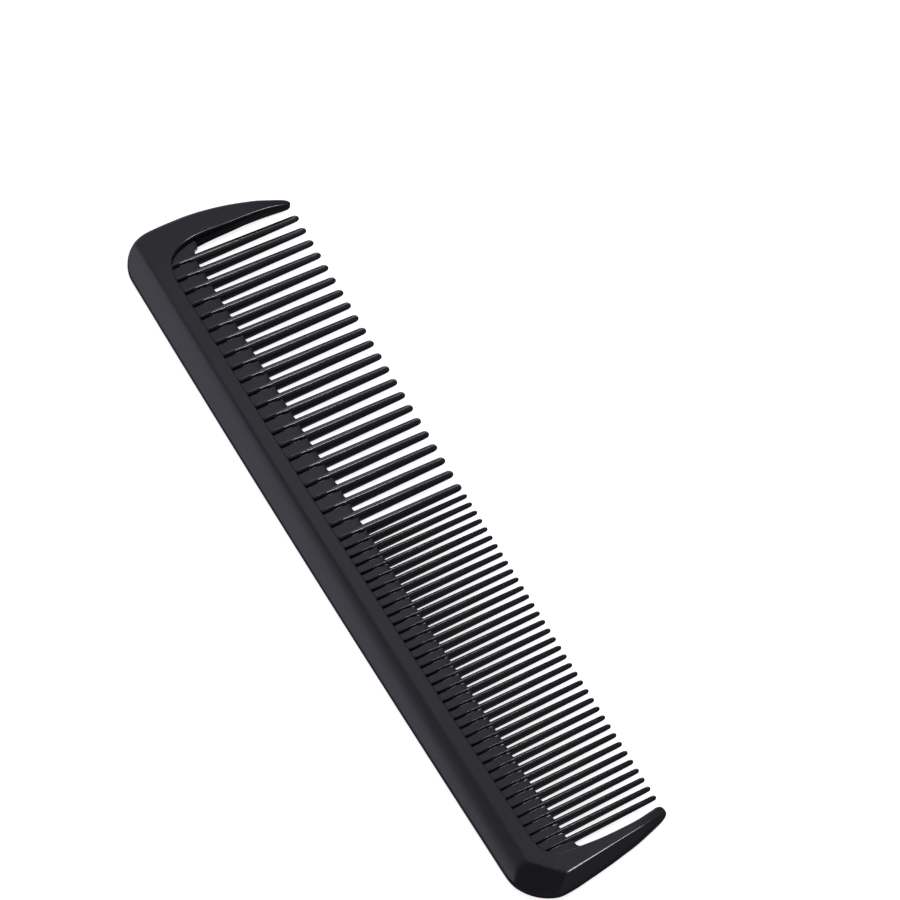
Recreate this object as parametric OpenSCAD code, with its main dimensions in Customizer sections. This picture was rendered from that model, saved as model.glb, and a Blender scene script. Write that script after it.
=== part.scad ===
// Double-pitch dressing comb, lying flat on one face.
// One injection moulding, drawn as its named regions. They meet face to face and never overlap.
// Units: mm. +X runs along the comb from the wide teeth to the fine teeth, +Y points to the
// tooth tips, +Z is up. The comb is mirror-symmetric about its mid-plane.

/* [Overall] */
// Length of the comb, end to end
comb_length = 178; // [120:1:230]
// Thickness of the flat faces of spine and guards
body_thickness = 3.7; // [2.5:0.1:6]
// Sideways bow of the whole comb at mid-length
bow = 0.6; // [0:0.1:2]

/* [Spine] */
// Distance from the tooth roots to the back edge
back_depth = 15.2; // [8:0.2:22]
// Distance from the tooth roots to the step between flat face and web
step_depth = 6.8; // [3:0.1:12]
// Distance from the tooth roots to the edge where the long bevel starts
bevel_depth = 10.4; // [5:0.2:16]
// Thickness left at the back edge below and above the bevels
edge_thickness = 0.9; // [0.4:0.1:2]
// Distance from the tooth roots to the line where the bevel gets steeper
bevel_break = 12.8; // [6:0.2:18]
// Half thickness left at that line
break_height = 1.31; // [0.5:0.01:2]
// Radius of the two rounded heels in plan
heel_radius = 9.5; // [4:0.5:14]

/* [Web] */
// Thickness of the recessed strip between the tooth roots
web_thickness = 2; // [1:0.1:3]
// Width of the ridge a tooth leaves on the web, as a share of the tooth
ridge_share = 0.74; // [0.5:0.02:1]

/* [Teeth] */
// Number of wide-spaced teeth
wide_count = 22; // [8:1:30]
// Pitch of the wide-spaced teeth
wide_pitch = 3.65; // [2.5:0.05:6]
// Width of a wide tooth at its root
wide_width = 2; // [1:0.05:3]
// Number of fine-spaced teeth
fine_count = 36; // [12:1:50]
// Pitch of the fine-spaced teeth
fine_pitch = 2.24; // [1.6:0.02:3]
// Width of a fine tooth at its root
fine_width = 1.24; // [0.6:0.02:2]
// Step between the last wide tooth and the first fine tooth
change_pitch = 2.54; // [1.8:0.02:4]
// Free length of the teeth at mid-comb
tooth_length = 23.1; // [12:0.1:35]
// How much longer the teeth are at the wide end than at mid-comb
length_taper = 2.5; // [0:0.1:6]
// Depth of a tooth, crest to crest, at the root line
tooth_depth = 3.14; // [2:0.02:5]
// Depth of a tooth, crest to crest, at its tip
tip_depth = 1.3; // [0.8:0.05:2.5]
// Side draft of a tooth in plan, per side, in degrees
plan_draft = 0.3; // [0:0.05:2]

/* [Guards] */
// Inner edge of the wide-end guard at its foot, measured from the middle of the comb
wide_guard_x = 82.8; // [60:0.1:100]
// Inner edge of the fine-end guard, measured from the middle of the comb
fine_guard_x = 82.5; // [60:0.1:100]
// Chamfer along the inner edges of the guards
guard_chamfer = 0.6; // [0.2:0.1:1.2]
// Radius where a guard turns into the step of the spine
corner_radius = 6.5; // [3:0.5:8]
// Depth of the end bevel on the fine-end guard
end_bevel = 3.3; // [1:0.1:6]
// Thickness of a guard at its tip
guard_tip_thickness = 1.8; // [1:0.1:3]

/* [Hidden] */
half = comb_length / 2;
zp = body_thickness / 2;
ze = edge_thickness / 2;
big = 60;
black = [0.11, 0.11, 0.13];
// The whole comb is shifted so that its footprint is centred on the origin
wide_tip_y = tooth_length + length_taper + 0.1;
fine_tip_y = tooth_length - length_taper - 0.1;
y_shift = -(wide_tip_y - back_depth - bow) / 2;
// Middle of the pitch change, so that both end gaps come out even
change_x = -0.3;
x_wide = change_x - change_pitch / 2;
x_fine = change_x + change_pitch / 2;
row_half = 78.8;
// Half-length of the bowed part of the step, and the line where the guards start
step_half = 74;
cut_y = -step_depth - bow * (1 - pow(step_half / row_half, 2));
// Fall of the tooth crest along the tooth, in degrees
crest_fall = atan((tooth_depth - tip_depth) / 2 / tooth_length);

function row(x) = min(1, max(-1, x / row_half));
function bowed(x) = -bow * (1 - pow(row(x), 2));
function tip_y(x) = tooth_length - length_taper * row(x) + bowed(x);
function wide_x(i) = x_wide - i * wide_pitch;
function fine_x(i) = x_fine + i * fine_pitch;
function line_pts(x0, x1, y, n) = [for (i = [0:n]) let(x = x0 + (x1 - x0) * i / n) [x, y + bowed(x)]];
function arc_pts(cx, cy, r, a0, a1, n) =
    [for (i = [0:n]) let(a = a0 + (a1 - a0) * i / n) [cx + r * cos(a), cy + r * sin(a)]];

module place() {
    translate([0, y_shift, zp]) children();
}

// Flat slab of a plan shape, centred on the mid-plane
module slab(t) {
    translate([0, 0, -t / 2]) linear_extrude(height = t) children();
}

// Long prism along +X through [y, z] points
module prism_x(pts) {
    rotate([90, 0, 90]) translate([0, 0, -4 * big]) linear_extrude(height = 8 * big) polygon(pts);
}

// Smooth curve through control points, n steps per span
function curve(p, n) = concat([for (i = [0:len(p) - 2], j = [0:n - 1]) let(
    a = p[max(0, i - 1)], b = p[i], c = p[i + 1], d = p[min(len(p) - 1, i + 2)], t = j / n)
    0.5 * (2 * b + t * (c - a) + t * t * (2 * a - 5 * b + 4 * c - d) + t * t * t * (3 * b - a - 3 * c + d))],
    [p[len(p) - 1]]);

// Heels: round corners of the back edge, up to the line where the guards start
function wide_heel() = arc_pts(-half + heel_radius + 0.2, heel_radius - back_depth, heel_radius,
    180 + asin((heel_radius - back_depth - cut_y) / heel_radius), 268, 12);
function fine_heel() = arc_pts(half - heel_radius, heel_radius - back_depth, heel_radius,
    -88, -asin((heel_radius - back_depth - cut_y) / heel_radius), 12);

// Corners between guards and step, and the bowed step between them
function wide_corner() = arc_pts(-wide_guard_x + corner_radius, cut_y + corner_radius, corner_radius, 180, 270, 9);
function fine_corner() = arc_pts(fine_guard_x - corner_radius, cut_y + corner_radius, corner_radius, -90, 0, 9);
function step_pts() = line_pts(-step_half, step_half, -step_depth, 20);

module spine_plan() {
    polygon(concat(wide_heel(), line_pts(-76, 76, -back_depth, 20), fine_heel(),
        [for (i = [20:-1:0]) step_pts()[i]]));
}

module wide_guard_plan() {
    tip = wide_tip_y;
    polygon(concat(
        [wide_corner()[9]],
        curve([wide_heel()[0], [-half, -1], [-half + 0.4, 6], [-half + 1.5, 12.3], [-half + 3.4, 18.9], [-half + 5.4, tip - 1.6],
            [-half + 6.1, tip - 0.4], [-half + 6.8, tip], [-half + 7.4, tip - 0.5], [-half + 7.4, tip - 3]], 4),
        [for (i = [0:8]) wide_corner()[i]]));
}

module fine_guard_plan() {
    tip = fine_tip_y;
    polygon(concat(
        [for (i = [0:9]) fine_corner()[i]],
        curve([[fine_guard_x - 0.1, 6], [fine_guard_x - 0.2, tip - 5], [fine_guard_x - 0.7, tip - 1.6],
            [fine_guard_x - 0.4, tip - 0.4], [fine_guard_x + 0.4, tip], [fine_guard_x + 1.3, tip - 0.6],
            [half - 4.1, tip - 2.4], [half - 2.5, 11.6], [half - 1.3, 5.2], [half - 0.5, -1],
            [half, -4.6]], 4),
        [fine_heel()[12]]));
}

// Opening between the guards above the step of the spine
module window_plan() {
    polygon(concat([[-wide_guard_x + 1.5, big]], [[-wide_guard_x + 1.5, 26]], wide_corner(), step_pts(),
        fine_corner(), [[fine_guard_x, big]]));
}

// Faces of the body: flat top and bottom, long bevel on the back, corner facet, end bevel
module body_faces() {
    slope = (break_height - ze) / (back_depth - bevel_break);
    intersection() {
        prism_x([[-bevel_depth, zp], [big, zp], [big, -zp], [-bevel_depth, -zp],
            [-bevel_break, -break_height], [-back_depth - ze / slope, 0], [-bevel_break, break_height]]);
        // corner facet across the fine-end heel
        translate([81.8, -8.4, 0]) rotate([0, 0, 45]) prism_x([[big * 3, zp], [0, zp],
            [-6.8, ze - 0.15], [-6.8, -ze + 0.15], [0, -zp], [big * 3, -zp]]);
        // end bevel of the fine-end guard
        translate([half - end_bevel, -4, 0]) rotate([0, 0, 95]) prism_x([[big * 4, zp], [0, zp],
            [-end_bevel - 0.8, ze - 0.3], [-end_bevel - 0.8, -ze + 0.3], [0, -zp], [big * 4, -zp]]);
    }
}

// One side flank of a tooth, s = 1 or -1: widest at the mid-plane, with draft to both faces
module flank(s, hw, lean) {
    rotate([0, 0, s * plan_draft]) rotate([90, 0, 0]) translate([0, 0, -big])
        linear_extrude(height = 2 * big)
            polygon([[s * hw, 0], [s * (hw - 3 * lean), 3], [-s * 4, 3],
                [-s * 4, -3], [s * (hw - 3 * lean), -3]]);
}

// Roof-shaped crest of a tooth on one face, s = 1 or -1, falling towards the tip
module crest(s, roof) {
    top = tooth_depth / 2;
    rotate([-s * crest_fall, 0, 0]) rotate([90, 0, 0]) translate([0, 0, -big])
        linear_extrude(height = 2 * big)
            polygon([[0, s * top], [4, s * (top - 4 * roof)], [4, -s * 5],
                [-4, -s * 5], [-4, s * (top - 4 * roof)]]);
}

// A tooth is the overlap of two flanks, two crests and its plan with a rounded tip
module tooth(x, w, shoulder, roof) {
    len = tip_y(x);
    tip_r = w * 0.36;
    hw = w / 2;
    lean = (hw - shoulder[0]) / shoulder[1];
    w_tip = hw - len * tan(plan_draft);
    ridge = hw * ridge_share;
    root = bowed(x) - 0.4;
    translate([x, 0, 0]) intersection() {
        flank(1, hw, lean);
        flank(-1, hw, lean);
        crest(1, roof);
        crest(-1, roof);
        slab(body_thickness) polygon(concat([[-ridge, -12], [ridge, -12], [ridge, root - 1.1], [hw + 0.1, root - 0.1],
            [3, root], [3, len - 2.2 * tip_r - 2], [w_tip, len - 2.2 * tip_r]], arc_pts(0, len - tip_r, tip_r, 10, 170, 8),
            [[-w_tip, len - 2.2 * tip_r], [-3, len - 2.2 * tip_r - 2],
            [-3, root], [-hw - 0.1, root - 0.1], [-ridge, root - 1.1]]));
    }
}

module wide_row() {
    for (i = [0:wide_count - 1]) tooth(wide_x(i), wide_width, [0.86, 1], 0.56);
}

module fine_row() {
    for (i = [0:fine_count - 1]) tooth(fine_x(i), fine_width, [0.52, 1], 0.95);
}

// Web in plan: up to the bowed root line, rounded up into each guard
module web_plan() {
    rw = 3.1;
    rf = 2.6;
    intersection() {
        window_plan();
        polygon(concat([[-big * 2, -20], [-big * 2, rw + 2], [-wide_guard_x, rw + 1]],
            arc_pts(-wide_guard_x + rw, rw + 0.2, rw, 172, 268, 8), line_pts(-77.6, 79.1, -0.35, 24),
            arc_pts(fine_guard_x - rf, rf + 0.5, rf, -88, 0, 8), [[big * 2, rf + 2], [big * 2, -20]]));
    }
}

// Side profile of the guards: full thickness, easing down towards the tip
module guard_side(y_end) {
    zt = guard_tip_thickness / 2;
    prism_x([[-step_depth - 2, zp + 1], [y_end - 12, zp], [y_end - 6, zp * 0.93], [y_end - 2.5, zp * 0.76],
        [y_end - 0.7, zt], [y_end + 0.1, zt * 0.5], [y_end + 0.1, -zt * 0.5], [y_end - 0.7, -zt],
        [y_end - 2.5, -zp * 0.76], [y_end - 6, -zp * 0.93], [y_end - 12, -zp], [-step_depth - 2, -zp - 1]]);
}

// Wedges that give the inner side of a guard draft towards both faces, s = 1 or -1 for the side
module inner_draft(x, lean, s) {
    c = guard_chamfer;
    for (t = [-1, 1])
        translate([x, 0, 0]) rotate([0, 0, lean]) rotate([-90, 0, 0]) linear_extrude(height = big)
            polygon([[-s * c, t * (zp + 0.1)], [s * 3, t * (zp + 0.1)], [s * 3, t * 0.3], [0, t * 0.3]]);
}

module spine() {
    color(black) place() intersection() {
        slab(body_thickness) spine_plan();
        body_faces();
    }
}

module tooth_web() {
    color(black) place() difference() {
        slab(web_thickness) web_plan();
        wide_row();
        fine_row();
    }
}

module wide_teeth() {
    color(black) place() intersection() {
        slab(8) window_plan();
        wide_row();
    }
}

module fine_teeth() {
    color(black) place() intersection() {
        slab(8) window_plan();
        fine_row();
    }
}

module wide_end_guard() {
    color(black) place() difference() {
        intersection() {
            slab(body_thickness) wide_guard_plan();
            body_faces();
            guard_side(wide_tip_y);
        }
        inner_draft(-wide_guard_x, -2.6, 1);
    }
}

module fine_end_guard() {
    color(black) place() difference() {
        intersection() {
            slab(body_thickness) fine_guard_plan();
            body_faces();
            guard_side(fine_tip_y);
        }
        inner_draft(fine_guard_x, 0.4, -1);
    }
}

spine();
tooth_web();
wide_teeth();
fine_teeth();
wide_end_guard();
fine_end_guard();
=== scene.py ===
import math
import bmesh
import bpy
import numpy as np
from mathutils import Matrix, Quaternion, Vector


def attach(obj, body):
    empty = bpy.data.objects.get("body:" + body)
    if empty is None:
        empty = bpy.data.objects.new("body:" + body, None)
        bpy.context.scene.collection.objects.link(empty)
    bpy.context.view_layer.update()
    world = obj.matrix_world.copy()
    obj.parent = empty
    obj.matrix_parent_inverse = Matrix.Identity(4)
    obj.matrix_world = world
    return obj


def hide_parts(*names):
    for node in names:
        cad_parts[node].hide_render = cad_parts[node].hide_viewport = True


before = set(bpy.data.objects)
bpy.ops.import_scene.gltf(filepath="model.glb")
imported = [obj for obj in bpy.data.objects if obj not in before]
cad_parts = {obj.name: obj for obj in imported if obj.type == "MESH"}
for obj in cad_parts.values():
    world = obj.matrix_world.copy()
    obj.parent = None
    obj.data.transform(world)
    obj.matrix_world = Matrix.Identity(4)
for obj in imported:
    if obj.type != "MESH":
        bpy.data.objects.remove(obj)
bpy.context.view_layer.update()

# Double-pitch dressing comb: one moulding of black plastic, lying flat on a pale floor.
# Shapes are written in millimetres in the comb's own plan: x runs from the wide teeth to
# the fine teeth, y = 0 is the root line and y grows towards the tips, z = 0 is the
# mid-plane. PLAN_SHIFT and MID_HEIGHT carry them into the frame.
MM = 0.001
PLAN_SHIFT = -4.95
MID_HEIGHT = 1.85
# Clean-up of the meshes, in metres
MERGE_DISTANCE = 2e-6
LEAST_EDGE = 1e-6

# Body: spine and end guards
HALF_THICKNESS = 1.85
HALF_EDGE = 0.45
BACK_DEPTH = 15.2
BEVEL_DEPTH = 10.4
STEP_DEPTH = 6.8
BOW = 0.6
BOW_POINTS = 21
ROW_HALF = 78.8
STEP_HALF = 74.0
BACK_HALF = 75.0
HEEL_RADIUS = 9.5
WIDE_HEEL_X = -79.3
FINE_HEEL_X = 79.5
HEEL_Y = HEEL_RADIUS - BACK_DEPTH
WIDE_TIP = (-82.2, 25.65)
FINE_TIP = (83.0, 20.5)

# Rounding of the edges between the body's faces
EDGE_SOFTNESS = 0.1
# The long bevel starts at one slope and steepens towards the back edge; its upper edge
# follows half of the bow
BEVEL_WIDTH = BACK_DEPTH - BEVEL_DEPTH
BEVEL_START = 0.16
BEVEL_CURVE = (HALF_THICKNESS - HALF_EDGE - BEVEL_START * BEVEL_WIDTH) / BEVEL_WIDTH ** 2
BEVEL_REACH = 6.0
BEVEL_BOW_SHARE = 0.5
# Corner facet of the fine heel: a point on its upper edge, which runs at 45 degrees
FACET_EDGE = (81.8, -8.4)
FACET_SLOPE = 0.228
# Bevel along the outer side of the fine guard: a point on its upper edge, the edge's
# turn in plan, and the rounding, which fades out from the point's y over FADE_LENGTH
END_BEVEL_EDGE = (85.7, -4.0)
END_BEVEL_SLOPE = 0.415
END_BEVEL_TURN = math.radians(5)
END_BEVEL_SOFTNESS = 0.13
END_BEVEL_FADE_LENGTH = 17.0
LEAST_SOFTNESS = 0.01
# The guards get thinner towards their tips
TIP_LENGTH = 12.0
TIP_THINNING = 0.5

# Web and teeth
HALF_WEB = 1.0
WEB_RIM = 0.3
ROOT_LINE = -0.35
# How far the teeth and the web reach into the spine
EMBEDDED = 0.9
TOOTH_LENGTH = 23.1
LENGTH_TAPER = 2.5
PLAN_DRAFT = math.tan(math.radians(0.3))
CREST_ROOT = 1.57
CREST_FALL = 0.92 / TOOTH_LENGTH
CREST_CLEARANCE = 0.02
# Rounding of the crest at the root; over WEAR_LENGTH from WEAR_START it gets sharper, and
# over the web it gets rounder
CREST_RADIUS = 0.2
CREST_SHARPENING = 0.9
CREST_ROUNDING = 1.2
WEAR_START = 3.0
WEAR_LENGTH = 13.0
# Rounding of the corners at mid-height and where the flanks meet the roof
FLANK_RADIUS = 0.1
SHOULDER_RADIUS = 0.09
# How much narrower a tooth is where it runs on over the web as a ridge, and the length
# over which it gets narrower
RIDGE_PINCH = 0.4
RIDGE_BLEND = 1.8
# Tips are rounded as a superellipse, a little longer than the tooth's half width
TIP_STRETCH = 1.25
TIP_POWER = 2.5

# The two rows: lean is how far a flank leans in per mm of height, roof is the fall of the
# crest's sides per mm of width
WIDE_COUNT = 22
WIDE_PITCH = 3.65
WIDE_FIRST = -1.57
WIDE_HALF_WIDTH = 1.02
WIDE_LEAN = 0.14
WIDE_ROOF = 0.55
WIDE_PLACES = [WIDE_FIRST - i * WIDE_PITCH for i in range(WIDE_COUNT)]
FINE_COUNT = 36
FINE_PITCH = 2.24
FINE_FIRST = 0.97
FINE_HALF_WIDTH = 0.64
FINE_LEAN = 0.10
FINE_ROOF = 0.95
FINE_PLACES = [FINE_FIRST + i * FINE_PITCH for i in range(FINE_COUNT)]


def bowed(x):
    """Sideways bow of the moulding at x."""
    share = np.clip(np.asarray(x, float) / ROW_HALF, -1, 1)
    return -BOW * (1 - share ** 2)


def smooth_line(points, steps=16):
    """Catmull-Rom curve through plan points, as a dense polyline."""
    p = np.array(points, float)
    p = np.vstack([2 * p[0] - p[1], p, 2 * p[-1] - p[-2]])
    t = np.linspace(0, 1, steps, endpoint=False)[:, None]
    spans = []
    for i in range(1, len(p) - 2):
        a, b, c, d = p[i - 1], p[i], p[i + 1], p[i + 2]
        spans.append(0.5 * (2 * b + t * (c - a) + t ** 2 * (2 * a - 5 * b + 4 * c - d)
                            + t ** 3 * (3 * b - a - 3 * c + d)))
    return np.vstack(spans + [p[-2:-1]])


def arc(cx, cy, radius, start, end, count):
    """Points on an arc, angles in degrees."""
    a = np.radians(np.linspace(start, end, count))
    return [(cx + radius * math.cos(v), cy + radius * math.sin(v)) for v in a]


def bowed_line(half_length, y):
    """Long line of the body at y, bent by the bow."""
    return [(x, y + float(bowed(x))) for x in np.linspace(-half_length, half_length, BOW_POINTS)]


def smooth_min(a, b, k):
    """Lower of two heights, with the edge between them rounded."""
    h = np.maximum(k - np.abs(a - b), 0) / k
    return np.minimum(a, b) - h * h * k / 4


def smooth_step(share):
    """Soft start and soft end of a share from 0 to 1."""
    return share ** 2 * (3 - 2 * share)


def quarter_round(row):
    """Drop of a rounded rim, as a share of its radius, at a share of its width."""
    return 1 - math.sqrt(1 - (1 - row) ** 2)


def link(name, mesh):
    """New object in the scene."""
    obj = bpy.data.objects.new(name, mesh)
    bpy.context.scene.collection.objects.link(obj)
    return obj


def loop_faces(rings, size):
    """Faces between closed rings of points, the last ring joined to the first."""
    faces = []
    for a in range(rings):
        b = (a + 1) % rings
        for s in range(size - 1):
            faces.append((a * size + s, b * size + s, b * size + s + 1, a * size + s + 1))
    return faces


def mirrored(rows):
    """The same rows on the underside, in reverse order."""
    return [row * np.array([1, 1, -1]) for row in reversed(rows)]


def mesh_piece(name, points, faces, stands_for):
    """Smooth mesh object from plan-space points in mm; it rides on the comb's one body."""
    places = np.array(points, float)
    places[:, 1] += PLAN_SHIFT
    places[:, 2] += MID_HEIGHT
    mesh = bpy.data.meshes.new(name)
    mesh.from_pydata((places * MM).tolist(), [], faces)
    cleaned = bmesh.new()
    cleaned.from_mesh(mesh)
    bmesh.ops.remove_doubles(cleaned, verts=cleaned.verts, dist=MERGE_DISTANCE)
    bmesh.ops.dissolve_degenerate(cleaned, edges=cleaned.edges, dist=LEAST_EDGE)
    bmesh.ops.recalc_face_normals(cleaned, faces=cleaned.faces)
    cleaned.to_mesh(mesh)
    cleaned.free()
    mesh.polygons.foreach_set("use_smooth", [True] * len(mesh.polygons))
    mesh.update()
    piece = link(name, mesh)
    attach(piece, "root")
    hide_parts(*stands_for)
    return piece


# ---------------------------------------------------------------- body

def inner_outline():
    """Inner edge: down the wide guard, round the corner, along the step, up the fine guard."""
    wide = [WIDE_TIP, (-81.75, 25.4), (-81.55, 24.8), (-81.7, 23.6), (-82.15, 20.8), (-82.45, 17.3),
            (-82.65, 10.5), (-82.85, 6), (-82.85, 3), (-82.6, 0.6), (-82, -1.6), (-81.15, -3.4),
            (-79.9, -4.9), (-78.3, -5.9), (-76.3, -6.55)]
    step = bowed_line(STEP_HALF, -STEP_DEPTH)
    fine = [(76.4, -6.8), (78.4, -6.4), (80.1, -5.3), (81.2, -3.6), (81.65, -1.1), (82.0, 2),
            (82.32, 5.5), (82.45, 10), (82.35, 14), (81.9, 17.5), (81.65, 19), (81.75, 19.85),
            (82.2, 20.35), FINE_TIP]
    return smooth_line(wide + step + fine)


def outer_outline():
    """Outer edge: down the wide guard, round the heel, along the back, up the fine guard."""
    wide = [WIDE_TIP, (-82.75, 25.4), (-83.2, 24.85), (-83.7, 23.8), (-84.6, 21.4), (-85.6, 18.9),
            (-86.4, 16.35), (-87.15, 13.75), (-87.8, 11.1), (-88.3, 8.4), (-88.7, 5.6),
            (-88.95, 2.7), (-89, -0.4), (-88.95, -3.25)]
    wide_heel = arc(WIDE_HEEL_X, HEEL_Y, HEEL_RADIUS, 184, 267, 9)
    back = bowed_line(BACK_HALF, -BACK_DEPTH)
    fine_heel = arc(FINE_HEEL_X, HEEL_Y, HEEL_RADIUS, -87, -7, 9)
    fine = [(88.85, -4), (88.5, -1), (88.1, 2.1), (87.65, 5.2), (87.1, 8.3), (86.5, 11.6),
            (85.65, 14.9), (84.7, 18.3), (84.2, 19.6), (83.75, 20.3), FINE_TIP]
    return smooth_line(wide + wide_heel + back + fine_heel + fine)


# Ribs across the body: matching places on the inner and outer edge, the number of ribs up
# to the next pair, and the radii of the rounded rims on the inner and outer side
RIBS = [
    (WIDE_TIP, WIDE_TIP, 12, 0.5, 0.5),
    ((-81.7, 23.6), (-83.9, 23.3), 40, 0.5, 0.6),
    ((-82.65, 10.5), (-88.0, 10.3), 26, 0.5, 0.7),
    ((-82.8, 2), (-89, 0), 22, 0.5, 0.75),
    ((-81.15, -3.4), (-88.3, -7.8), 20, 0.4, 0.6),
    ((-78.3, -5.9), (-84.5, -13.6), 14, 0.3, 0.35),
    ((-74, -6.87), (-76, -15.3), 170, 0.25, 0.3),
    ((74, -6.87), (76, -15.3), 16, 0.25, 0.3),
    ((78.4, -6.4), (84.5, -13.8), 24, 0.3, 0.3),
    ((81.2, -3.6), (88.6, -8.5), 26, 0.35, 0.35),
    ((82.35, 2), (88.4, 0), 30, 0.35, 0.4),
    ((82.75, 10), (86.8, 9.8), 34, 0.35, 0.45),
    ((81.95, 18.4), (84.7, 18.3), 12, 0.5, 0.5),
    (FINE_TIP, FINE_TIP, 0, 0.5, 0.5),
]
RIM_ROWS = np.array([0, 0.02, 0.08, 0.18, 0.32, 0.5, 0.74, 1.0])
FACE_ROWS = 40
# A rim is never rounder than this share of the half thickness
RIM_LIMIT = 0.85
# Reach, each way, over which the direction of an edge is measured
RUN_REACH = 0.12

# How far the wide guard's inner side stands out at the mid-plane: the most it may be, its
# value at the root line and its fall per mm, and where it starts and ends along y
GUARD_DRAFT_MOST = 1.7
GUARD_DRAFT_ROOT = 1.92
GUARD_DRAFT_FALL = 0.073
GUARD_DRAFT_START = (-6.0, 4.0)
GUARD_DRAFT_END = (25.0, 3.0)
GUARD_FOOT_X = -78.0
STEP_DRAFT = 0.03


def lengths_along(line):
    """Arc length at every point of a polyline."""
    steps = np.linalg.norm(np.diff(line, axis=0), axis=1)
    return np.concatenate([[0], np.cumsum(steps)])


def points_at(line, total, places):
    """Points on a polyline at arc-length places."""
    return np.column_stack([np.interp(places, total, line[:, i]) for i in (0, 1)])


def along(line, places):
    """Points and inward directions on a dense polyline at arc-length places."""
    total = lengths_along(line)
    run = points_at(line, total, places + RUN_REACH) - points_at(line, total, places - RUN_REACH)
    run /= np.linalg.norm(run, axis=1)[:, None]
    return points_at(line, total, places), np.column_stack([run[:, 1], -run[:, 0]])


def place_on(line, point):
    """Arc length of the place on the line nearest to the point."""
    nearest = np.argmin(np.linalg.norm(line - np.array(point), axis=1))
    return lengths_along(line)[nearest]


def rib_places(line, side):
    """Arc-length places of all ribs on the inner (side 0) or outer (side 1) edge."""
    places = []
    for rib, following in zip(RIBS[:-1], RIBS[1:]):
        share = np.arange(rib[2]) / rib[2]
        a, b = place_on(line, rib[side]), place_on(line, following[side])
        places.extend(a + (b - a) * share)
    return np.array(places + [place_on(line, RIBS[-1][side])])


def rim_radii(side):
    """Rim radius at every rib on the inner (side 0) or outer (side 1) edge."""
    radii = []
    for rib, following in zip(RIBS[:-1], RIBS[1:]):
        share = np.arange(rib[2]) / rib[2]
        radii.extend(rib[3 + side] + (following[3 + side] - rib[3 + side]) * share)
    return np.array(radii + [RIBS[-1][3 + side]])


def back_bevel(x, y):
    """Half height under the long bevel of the back."""
    behind = -BEVEL_DEPTH - (y - BEVEL_BOW_SHARE * bowed(x))
    curve = BEVEL_CURVE * np.clip(behind, 0, BEVEL_REACH) ** 2
    return HALF_THICKNESS - BEVEL_START * behind - curve


def corner_facet(x, y):
    """Half height under the facet of the fine heel."""
    across = ((y - FACET_EDGE[1]) - (x - FACET_EDGE[0])) * math.sqrt(0.5)
    return HALF_THICKNESS + FACET_SLOPE * across


def end_bevel(x, y):
    """Half height under the bevel of the fine guard."""
    out_x = (x - END_BEVEL_EDGE[0]) * math.cos(END_BEVEL_TURN)
    out_y = (y - END_BEVEL_EDGE[1]) * math.sin(END_BEVEL_TURN)
    return HALF_THICKNESS - END_BEVEL_SLOPE * (out_x + out_y)


def half_height(x, y):
    """Half thickness of the body: flat faces, back bevel, corner facet, end bevel, thin tips."""
    height = smooth_min(np.full_like(x, HALF_THICKNESS), back_bevel(x, y), EDGE_SOFTNESS)
    height = smooth_min(height, corner_facet(x, y), EDGE_SOFTNESS)
    fading = np.clip((y - END_BEVEL_EDGE[1]) / END_BEVEL_FADE_LENGTH, 0, 1)
    softness = END_BEVEL_SOFTNESS * (1 - fading) ** 1.5 + LEAST_SOFTNESS
    height = smooth_min(height, end_bevel(x, y), softness)
    tip_y = np.where(x < 0, WIDE_TIP[1], FINE_TIP[1])
    near_tip = np.clip((y - tip_y + TIP_LENGTH) / TIP_LENGTH, 0, 1)
    return height * (1 - TIP_THINNING * near_tip ** 3)


def inner_draft(inner):
    """How far the inner side stands out at the mid-plane: most at the foot of the wide guard."""
    x, y = inner[:, 0], inner[:, 1]
    draft = np.clip(GUARD_DRAFT_ROOT - GUARD_DRAFT_FALL * y, 0, GUARD_DRAFT_MOST)
    starting = np.clip((y - GUARD_DRAFT_START[0]) / GUARD_DRAFT_START[1], 0, 1)
    ending = np.clip((GUARD_DRAFT_END[0] - y) / GUARD_DRAFT_END[1], 0, 1)
    return np.where(x < GUARD_FOOT_X, draft * starting * ending, STEP_DRAFT)


def rim_rows(edge, inward, rim):
    """Plan rows over one rounded rim, each with its drop below the face, from the edge in."""
    return [(edge + inward * (rim * row)[:, None], quarter_round(row), rim) for row in RIM_ROWS]


def face_rows(start, end, rim):
    """Plan rows across the face between the two rims."""
    return [(start + (end - start) * k / FACE_ROWS, 0, rim) for k in range(1, FACE_ROWS)]


def make_body():
    """Spine and both end guards in one closed skin, top and bottom alike, built on the ribs."""
    inner_line, outer_line = inner_outline(), outer_outline()
    inner, inner_in = along(inner_line, rib_places(inner_line, 0))
    outer, outer_out = along(outer_line, rib_places(outer_line, 1))
    inner_rim, outer_rim = rim_radii(0), rim_radii(1)
    start = outer - outer_out * outer_rim[:, None]
    end = inner + inner_in * inner_rim[:, None]
    rows = rim_rows(outer, -outer_out, outer_rim) + face_rows(start, end, outer_rim)
    rows += rim_rows(inner, inner_in, inner_rim)[::-1]
    top = []
    for plan, drop, rim in rows:
        full = half_height(plan[:, 0], plan[:, 1])
        top.append(np.column_stack([plan, full - drop * np.minimum(rim, RIM_LIMIT * full)]))
    level = np.zeros(len(inner))
    middle_out = np.column_stack([outer, level])
    middle_in = np.column_stack([inner - inner_in * inner_draft(inner)[:, None], level])
    # Both edges meet in one point at each tip
    middle_in[[0, -1], :2] = inner[[0, -1]]
    loop = top + [middle_in] + mirrored(top) + [middle_out]
    faces = loop_faces(len(loop), len(inner))
    stands_for = ("spine", "wide_end_guard", "fine_end_guard")
    return mesh_piece("comb_body", np.vstack(loop), faces, stands_for)


# ---------------------------------------------------------------- teeth

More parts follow.
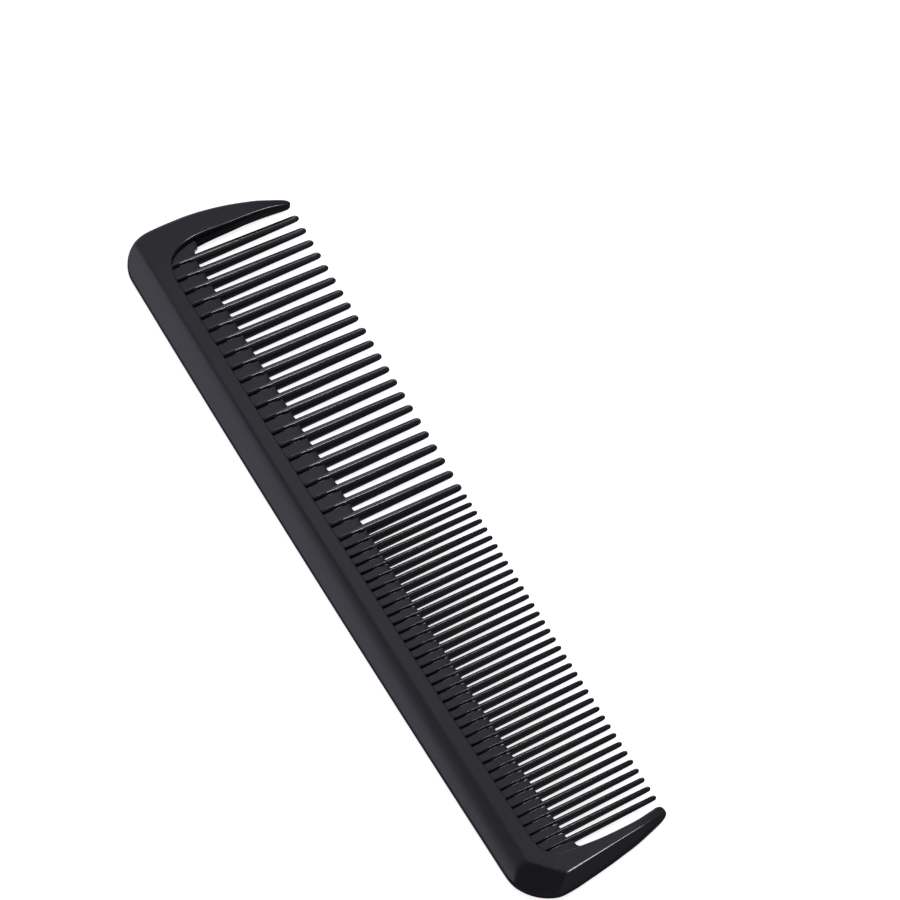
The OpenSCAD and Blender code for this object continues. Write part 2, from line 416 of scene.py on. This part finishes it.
# y of the rings where a tooth crosses the web, and the angles of the rings over its tip
FOOT_RINGS = [-4, -3, -2.6, -2.2, -1.8, -1.4, -1, -0.6, -0.2]
SHAFT_START = 1.5
SHAFT_RINGS = 12
TIP_ANGLES = [12, 24, 36, 48, 58, 67, 75, 82, 87, 90]
LEAST_FLANK = 0.12
LEAST_SCALE = 0.02
# A rounded corner uses no more than this share of the sides beside it
CORNER_SHARE = 0.45


def round_corners(corners, radii, count=4):
    """Closed polygon with each corner replaced by points on a small arc."""
    out = []
    total = len(corners)
    for i in range(total):
        here = np.array(corners[i])
        to_last = np.array(corners[i - 1]) - here
        to_next = np.array(corners[(i + 1) % total]) - here
        last_side, next_side = np.linalg.norm(to_last), np.linalg.norm(to_next)
        cut = min(radii[i], CORNER_SHARE * last_side, CORNER_SHARE * next_side)
        a = here + to_last / last_side * cut
        b = here + to_next / next_side * cut
        for k in range(count):
            t = k / (count - 1)
            out.append((1 - t) ** 2 * a + 2 * t * (1 - t) * here + t ** 2 * b)
    return np.array(out)


def tooth_section(half_width, crest, lean, roof, crest_radius):
    """Cross-section of a tooth in x and z: upright flanks under a roof-shaped crest, twice."""
    z = max(LEAST_FLANK, (crest - roof * half_width) / (1 - roof * lean))
    x = min(half_width - lean * z, (crest - z) / roof)
    upper = [(half_width, 0), (x, z), (0, crest), (-x, z)]
    lower = [(-half_width, 0), (-x, -z), (0, -crest), (x, -z)]
    radii = [FLANK_RADIUS, SHOULDER_RADIUS, crest_radius, SHOULDER_RADIUS]
    return round_corners(upper + lower, radii + radii)


def tooth_rings(x, half_width, lean, roof):
    """Rings of points of one tooth from inside the spine to its rounded tip."""
    taper = LENGTH_TAPER * max(-1, min(1, x / ROW_HALF))
    length = TOOTH_LENGTH - taper + float(bowed(x))
    tip = TIP_STRETCH * half_width
    foot = [-STEP_DEPTH - EMBEDDED] + FOOT_RINGS
    shaft = np.linspace(SHAFT_START, length - tip, SHAFT_RINGS)
    cap = length - tip + tip * np.sin(np.radians(TIP_ANGLES))
    rings = []
    for y in np.concatenate([foot, shaft, cap]):
        over_web = np.clip((ROOT_LINE + float(bowed(x)) - y) / RIDGE_BLEND, 0, 1)
        worn = np.clip((y - WEAR_START) / WEAR_LENGTH, 0, 1)
        sharper = CREST_SHARPENING * smooth_step(worn)
        crest_radius = CREST_RADIUS * (1 - sharper + CREST_ROUNDING * over_web)
        crest = min(CREST_ROOT - CREST_FALL * y, HALF_THICKNESS - CREST_CLEARANCE)
        pinch = RIDGE_PINCH * smooth_step(over_web)
        half = (half_width - PLAN_DRAFT * max(y, 0)) * (1 - pinch)
        into_tip = np.clip((y - length + tip) / tip, 0, 1)
        scale = max(LEAST_SCALE, (1 - into_tip ** TIP_POWER) ** (1 / TIP_POWER))
        section = tooth_section(half, crest, lean, roof, crest_radius) * scale
        level = np.full(len(section), y)
        rings.append(np.column_stack([x + section[:, 0], level, section[:, 1]]))
    return rings


def make_teeth(name, places, half_width, lean, roof, stands_for):
    """One row of teeth."""
    points, faces = [], []
    for x in places:
        rings = tooth_rings(x, half_width, lean, roof)
        first, size = len(points), len(rings[0])
        for ring in rings:
            points.extend(ring.tolist())
        for a in range(len(rings) - 1):
            base = first + a * size
            for k in range(size):
                n = (k + 1) % size
                faces.append((base + k, base + n, base + size + n, base + size + k))
        last = first + (len(rings) - 1) * size
        faces.append(tuple(range(first, first + size)))
        faces.append(tuple(range(last, last + size)))
    return mesh_piece(name, points, faces, (stands_for,))


# ---------------------------------------------------------------- web

# The gaps have rounded bottoms: how far a tooth's foot covers the web, as a share of its
# half width, how deep the rounding is, as a share of the gap's half width, and its power
FOOT_COVER = 0.84
GAP_ROUNDING = 0.45
GAP_POWER = 2.6
HALF_GAP_STATIONS = [0.25, 0.5, 0.72, 0.88, 0.96, 1, 1.15]
GAP_STATIONS = [-share for share in reversed(HALF_GAP_STATIONS)] + [0] + HALF_GAP_STATIONS
WEB_ROWS = (0, 0.1, 0.3, 0.55, 0.8)
# Fillets of the web at the two guards: the stretch in x, the rise at their start, and how
# they curve up from there. The fine end also slopes up a little towards the last tooth
FILLET_STATIONS = 18
WIDE_FILLET_SPAN = (-83.2, -79.25)
WIDE_FILLET_START = -79.3
WIDE_FILLET_BASE = 0.64
WIDE_FILLET_CURVE = 0.5
WIDE_FILLET_MOST = 1.6
FINE_FILLET_SPAN = (80.05, 83.2)
FINE_FILLET_START = 80.8
FINE_FILLET_BASE = 0.95
FINE_FILLET_CURVE = 0.9
FINE_CORNER_START = 80.5
FINE_CORNER_SLOPE = 0.3


def wide_fillet(x):
    """Rise of the web's edge beside the wide guard."""
    past = max(0, WIDE_FILLET_START - x)
    return WIDE_FILLET_BASE + min(WIDE_FILLET_MOST, WIDE_FILLET_CURVE * past ** 2)


def fine_fillet(x):
    """Rise of the web's edge beside the fine guard, and a little beside the last tooth."""
    before = max(0, FINE_CORNER_START - x)
    past = max(0, x - FINE_FILLET_START)
    return FINE_FILLET_BASE + FINE_CORNER_SLOPE * before + FINE_FILLET_CURVE * past ** 2


def gap_columns(left, right):
    """x and root-line y over one gap between two teeth."""
    middle, half = (left + right) / 2, (right - left) / 2
    columns = []
    for share in GAP_STATIONS:
        side = min(1, abs(share)) ** GAP_POWER
        rise = half * GAP_ROUNDING * (1 - (1 - side) ** (1 / GAP_POWER))
        x = middle + half * share
        columns.append((x, ROOT_LINE + float(bowed(x)) + rise))
    return columns


def web_columns():
    """x and root-line y across the web: a rounded bottom in every gap, a fillet at each guard."""
    wide = [(x, FOOT_COVER * WIDE_HALF_WIDTH) for x in reversed(WIDE_PLACES)]
    fine = [(x, FOOT_COVER * FINE_HALF_WIDTH) for x in FINE_PLACES]
    teeth = wide + fine
    wide_end = np.linspace(*WIDE_FILLET_SPAN, FILLET_STATIONS)
    fine_end = np.linspace(*FINE_FILLET_SPAN, FILLET_STATIONS)
    columns = [(x, ROOT_LINE + wide_fillet(x)) for x in wide_end]
    for (x, foot), (next_x, next_foot) in zip(teeth[:-1], teeth[1:]):
        columns += gap_columns(x + foot, next_x - next_foot)
    columns += [(x, ROOT_LINE + fine_fillet(x)) for x in fine_end]
    return np.array(columns)


def make_web():
    """Thin strip that the teeth cross between the step of the spine and the root line."""
    x, edge = web_columns().T
    root = -STEP_DEPTH - EMBEDDED + bowed(x)
    rows = [(root + (edge - WEB_RIM - root) * share, HALF_WEB) for share in WEB_ROWS]
    for row in RIM_ROWS[::-1]:
        rows.append((edge - WEB_RIM * row, HALF_WEB - WEB_RIM * quarter_round(row)))
    top = [np.column_stack([x, y, np.full(len(x), height)]) for y, height in rows]
    loop = top + mirrored(top)
    count = len(x)
    faces = loop_faces(len(loop), count)
    faces.append(tuple(a * count for a in range(len(loop))))
    faces.append(tuple(a * count + count - 1 for a in range(len(loop))))
    return mesh_piece("comb_web", np.vstack(loop), faces, ("tooth_web",))


# ---------------------------------------------------------------- material

# Noise scales, in features per metre
CLOUD_SCALE = 90
GRAIN_SCALE = 5200
STREAK_SCALE = 260
STREAK_STRETCH = (1, 9, 1)
# The values of the noise that are used: most of it, and only the tops for the streaks
NOISE_RANGE = (0.3, 0.7)
STREAK_RANGE = (0.5, 0.8)
DARK_TINT = (0.0030, 0.0029, 0.0036, 1)
PALE_TINT = (0.0045, 0.0044, 0.0054, 1)
ROUGHNESS = (0.15, 0.18)
STREAK_ROUGHNESS = 0.04
GRAIN_ROUGHNESS = 0.02
PLASTIC_IOR = 1.5
BUMP_STRENGTH = 0.03
BUMP_HEIGHT = 0.00004
CLOUD_RELIEF = 3


def node(tree, kind, **values):
    """New shader node with its properties set."""
    made = tree.nodes.new(kind)
    for name, value in values.items():
        setattr(made, name, value)
    return made


def noise(tree, place, scale, detail, stretch=(1, 1, 1)):
    """Noise in the comb's own space."""
    mapping = node(tree, "ShaderNodeMapping")
    mapping.inputs["Scale"].default_value = stretch
    tree.links.new(place, mapping.inputs["Vector"])
    made = node(tree, "ShaderNodeTexNoise")
    made.inputs["Scale"].default_value = scale
    made.inputs["Detail"].default_value = detail
    tree.links.new(mapping.outputs["Vector"], made.inputs["Vector"])
    return made.outputs["Fac"]


def map_range(tree, value, low, high, to_low, to_high):
    """Value carried from one range to another."""
    made = node(tree, "ShaderNodeMapRange")
    made.inputs["From Min"].default_value = low
    made.inputs["From Max"].default_value = high
    made.inputs["To Min"].default_value = to_low
    made.inputs["To Max"].default_value = to_high
    tree.links.new(value, made.inputs["Value"])
    return made.outputs["Result"]


def math_node(tree, operation, a, b):
    """Sum, product and the like of two values."""
    made = node(tree, "ShaderNodeMath", operation=operation)
    for socket, value in zip(made.inputs, (a, b)):
        if isinstance(value, (int, float)):
            socket.default_value = value
        else:
            tree.links.new(value, socket)
    return made.outputs["Value"]


def comb_plastic():
    """Black moulded plastic: satin gloss, fine mould grain, faint streaks and handling marks."""
    material = bpy.data.materials.new("comb_plastic")
    material.use_nodes = True
    tree = material.node_tree
    shader = tree.nodes["Principled BSDF"]
    shader.inputs["IOR"].default_value = PLASTIC_IOR
    place = node(tree, "ShaderNodeTexCoord").outputs["Object"]
    cloud = noise(tree, place, CLOUD_SCALE, detail=3)
    grain = noise(tree, place, GRAIN_SCALE, detail=2)
    streaks = noise(tree, place, STREAK_SCALE, detail=4, stretch=STREAK_STRETCH)

    tint = node(tree, "ShaderNodeMix", data_type="RGBA")
    tint.inputs["A"].default_value = DARK_TINT
    tint.inputs["B"].default_value = PALE_TINT
    tree.links.new(cloud, tint.inputs["Factor"])
    tree.links.new(tint.outputs["Result"], shader.inputs["Base Color"])

    rough = map_range(tree, cloud, *NOISE_RANGE, *ROUGHNESS)
    streaked = map_range(tree, streaks, *STREAK_RANGE, 0, STREAK_ROUGHNESS)
    grained = map_range(tree, grain, *NOISE_RANGE, -GRAIN_ROUGHNESS, GRAIN_ROUGHNESS)
    rough = math_node(tree, "ADD", rough, streaked)
    rough = math_node(tree, "ADD", rough, grained)
    tree.links.new(rough, shader.inputs["Roughness"])

    bump = node(tree, "ShaderNodeBump")
    bump.inputs["Strength"].default_value = BUMP_STRENGTH
    bump.inputs["Distance"].default_value = BUMP_HEIGHT
    clouds = math_node(tree, "MULTIPLY", cloud, CLOUD_RELIEF)
    relief = math_node(tree, "ADD", clouds, grain)
    tree.links.new(relief, bump.inputs["Height"])
    tree.links.new(bump.outputs["Normal"], shader.inputs["Normal"])
    return material


# ---------------------------------------------------------------- stage

CAMERA_PLACE = (0.27637, -0.20765, 0.58465)
CAMERA_TARGET = (-0.01036, 0.02001, 0.0019)
CAMERA_ROLL = math.radians(9.59)
CAMERA_LENS = 129.3
SENSOR_WIDTH = 36
CAMERA_REACH = (0.01, 10)

FLOOR_HALF = 3.0
FLOOR_GREY = (0.8, 0.8, 0.8, 1)
FLOOR_ROUGHNESS = 0.9
FLOOR_SPECULAR = 0.1
FLOOR_GLOW = 0.82

# Directions seen from the comb
UP = (0, 0, 1)
DOWN = (0, 0, -1)
TO_WIDE_END = (-1, 0, 0)
TO_FINE_END = (1, 0, 0)
TO_TIPS = (0, 1, 0)
TO_HIGH_LAMP = (-0.415, 0.29, 0.862)
TO_LOW_WIDE_BACK = (-0.755, -0.512, -0.41)

# Soft panels of the room: strength, and the directions that bound each one as
# (axis, start of its soft edge, end of it), measured along the axis
ROOM_PANELS = [
    (0.06, [(UP, 0.6, 0.85)]),
    (0.27, [(TO_WIDE_END, 0.1, 0.30), (UP, -0.05, 0.15)]),
    (0.19, [(TO_FINE_END, 0.15, 0.36), (TO_WIDE_END, -0.52, -0.42), (UP, 0.0, 0.3)]),
    (0.5, [(TO_HIGH_LAMP, 0.9905, 1.0)]),
    (0.24, [(UP, 0.2, 0.35), (DOWN, -0.72, -0.55), (TO_FINE_END, -0.1, 0.25)]),
    (0.92, [(TO_LOW_WIDE_BACK, -0.03, 0.05), (TO_WIDE_END, 0.12, 0.28),
            (TO_TIPS, -0.62, -0.45)]),
]
ROOM_GLOW = 0.09
ROOM_COLOUR = (0.96, 0.94, 1.12, 1)

STRIP_WAY = (0.04, 0.37, 0.93)
STRIP_DISTANCE = 0.9
STRIP_SIZE = (0.2, 0.14)
STRIP_POWER = 2.2


def make_camera():
    """Long lens, looking down on the comb from its fine end and back edge."""
    data = bpy.data.cameras.new("camera")
    data.sensor_width = SENSOR_WIDTH
    data.lens = CAMERA_LENS
    data.clip_start, data.clip_end = CAMERA_REACH
    camera = link("camera", data)
    camera.location = CAMERA_PLACE
    aim = (Vector(CAMERA_TARGET) - Vector(CAMERA_PLACE)).to_track_quat("-Z", "Y")
    camera.rotation_mode = "QUATERNION"
    camera.rotation_quaternion = aim @ Quaternion((0, 0, 1), CAMERA_ROLL)
    bpy.context.scene.camera = camera


def make_floor():
    """Plain pale floor under the comb."""
    mesh = bpy.data.meshes.new("floor")
    r = FLOOR_HALF
    mesh.from_pydata([(-r, -r, 0), (r, -r, 0), (r, r, 0), (-r, r, 0)], [], [(0, 1, 2, 3)])
    floor = link("floor", mesh)
    material = bpy.data.materials.new("floor_paper")
    material.use_nodes = True
    shader = material.node_tree.nodes["Principled BSDF"]
    shader.inputs["Base Color"].default_value = FLOOR_GREY
    shader.inputs["Roughness"].default_value = FLOOR_ROUGHNESS
    shader.inputs["Specular IOR Level"].default_value = FLOOR_SPECULAR
    shader.inputs["Emission Color"].default_value = (1, 1, 1, 1)
    shader.inputs["Emission Strength"].default_value = FLOOR_GLOW
    mesh.materials.append(material)
    floor.visible_glossy = False


def make_strip():
    """Soft box above the comb, which gives the crests of the teeth their highlights."""
    data = bpy.data.lights.new("strip_above", "AREA")
    data.shape = "RECTANGLE"
    data.size, data.size_y = STRIP_SIZE
    data.energy = STRIP_POWER
    lamp = link("strip_above", data)
    way = Vector(STRIP_WAY).normalized()
    lamp.location = way * STRIP_DISTANCE
    lamp.rotation_mode = "QUATERNION"
    lamp.rotation_quaternion = (-way).to_track_quat("-Z", "Y")


def room_panel(tree, direction, strength, edges):
    """One soft-edged panel of the room as a brightness over direction."""
    value = strength
    for axis, start, end in edges:
        dot = node(tree, "ShaderNodeVectorMath", operation="DOT_PRODUCT")
        tree.links.new(direction, dot.inputs[0])
        dot.inputs[1].default_value = Vector(axis).normalized()
        edge = node(tree, "ShaderNodeMapRange", interpolation_type="SMOOTHSTEP")
        edge.inputs["From Min"].default_value = start
        edge.inputs["From Max"].default_value = end
        tree.links.new(dot.outputs["Value"], edge.inputs["Value"])
        value = math_node(tree, "MULTIPLY", edge.outputs["Result"], value)
    return value


def make_room():
    """A dim room with soft pale panels, shown in plain sRGB."""
    world = bpy.data.worlds.new("studio")
    world.use_nodes = True
    tree = world.node_tree
    direction = node(tree, "ShaderNodeTexCoord").outputs["Generated"]
    total = ROOM_GLOW
    for strength, edges in ROOM_PANELS:
        total = math_node(tree, "ADD", room_panel(tree, direction, strength, edges), total)
    background = tree.nodes["Background"]
    background.inputs["Color"].default_value = ROOM_COLOUR
    tree.links.new(total, background.inputs["Strength"])
    bpy.context.scene.world = world
    view = bpy.context.scene.view_settings
    view.view_transform = "Standard"
    view.look = "None"
    view.exposure = 0
    view.gamma = 1


# ---------------------------------------------------------------- build

WIDE_TOOTH = (WIDE_HALF_WIDTH, WIDE_LEAN, WIDE_ROOF)
FINE_TOOTH = (FINE_HALF_WIDTH, FINE_LEAN, FINE_ROOF)
PLASTIC = comb_plastic()
PIECES = [
    make_body(),
    make_web(),
    make_teeth("comb_wide_teeth", WIDE_PLACES, *WIDE_TOOTH, "wide_teeth"),
    make_teeth("comb_fine_teeth", FINE_PLACES, *FINE_TOOTH, "fine_teeth"),
]
for piece in PIECES:
    piece.data.materials.clear()
    piece.data.materials.append(PLASTIC)

make_camera()
make_floor()
make_room()
make_strip()
